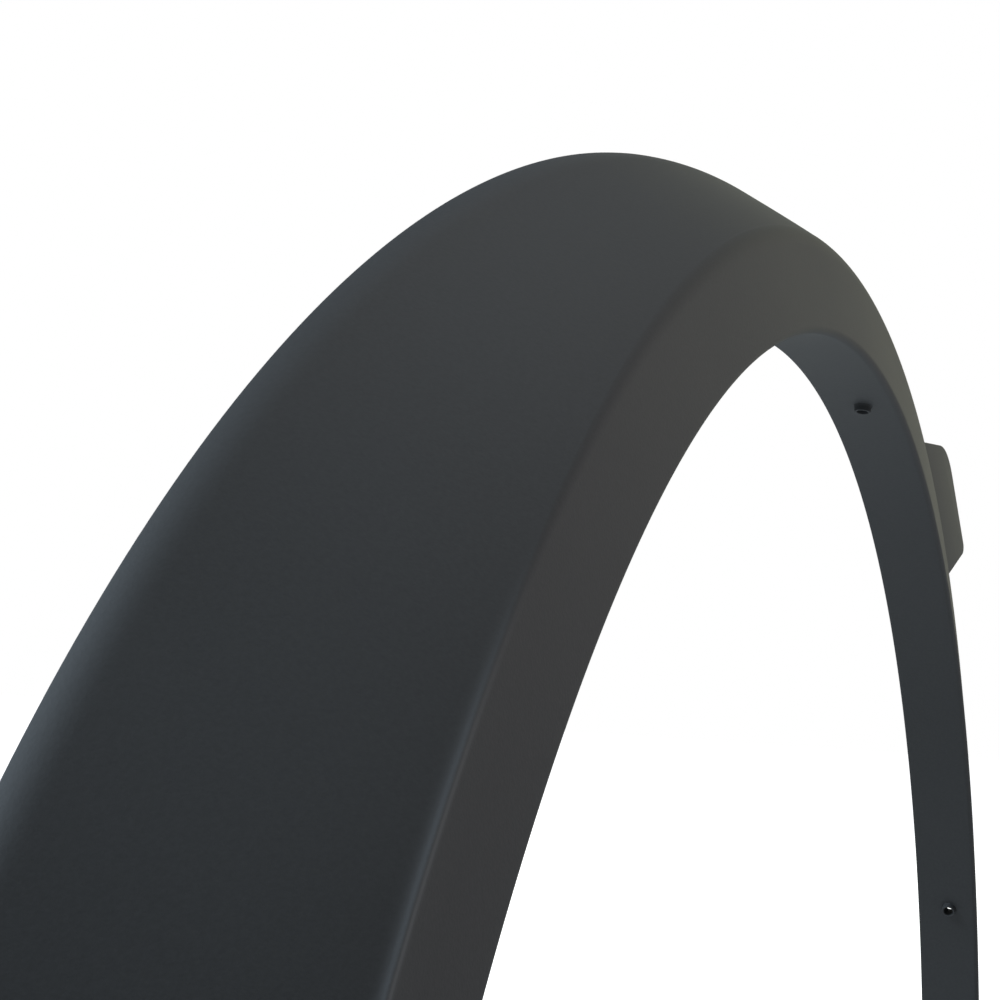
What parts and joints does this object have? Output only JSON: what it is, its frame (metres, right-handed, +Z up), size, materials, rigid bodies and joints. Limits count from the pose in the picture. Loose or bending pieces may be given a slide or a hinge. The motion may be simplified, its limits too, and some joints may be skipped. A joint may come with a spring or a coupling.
{
  "type": "wheel arch trim",
  "caption": "Moulded trim that borders a car's wheel opening: a narrow lip with a flange turned inwards, and a wide band outside that slopes back to the car's side.",
  "frame": {"origin": "on the wheel opening's axis, in the plane of the fold at the front of the trim", "axes": "-Y points away from the car and +Y into it, +Z is up, and +X is to the leg that the picture shows farther away"},
  "size_m": [0.8246, 0.0668, 0.4783],
  "materials": {
    "arch_trim": "matte"
  },
  "bodies": {
    "root": {"arch_trim": "arch_trim"}
  },
  "joints": []
}
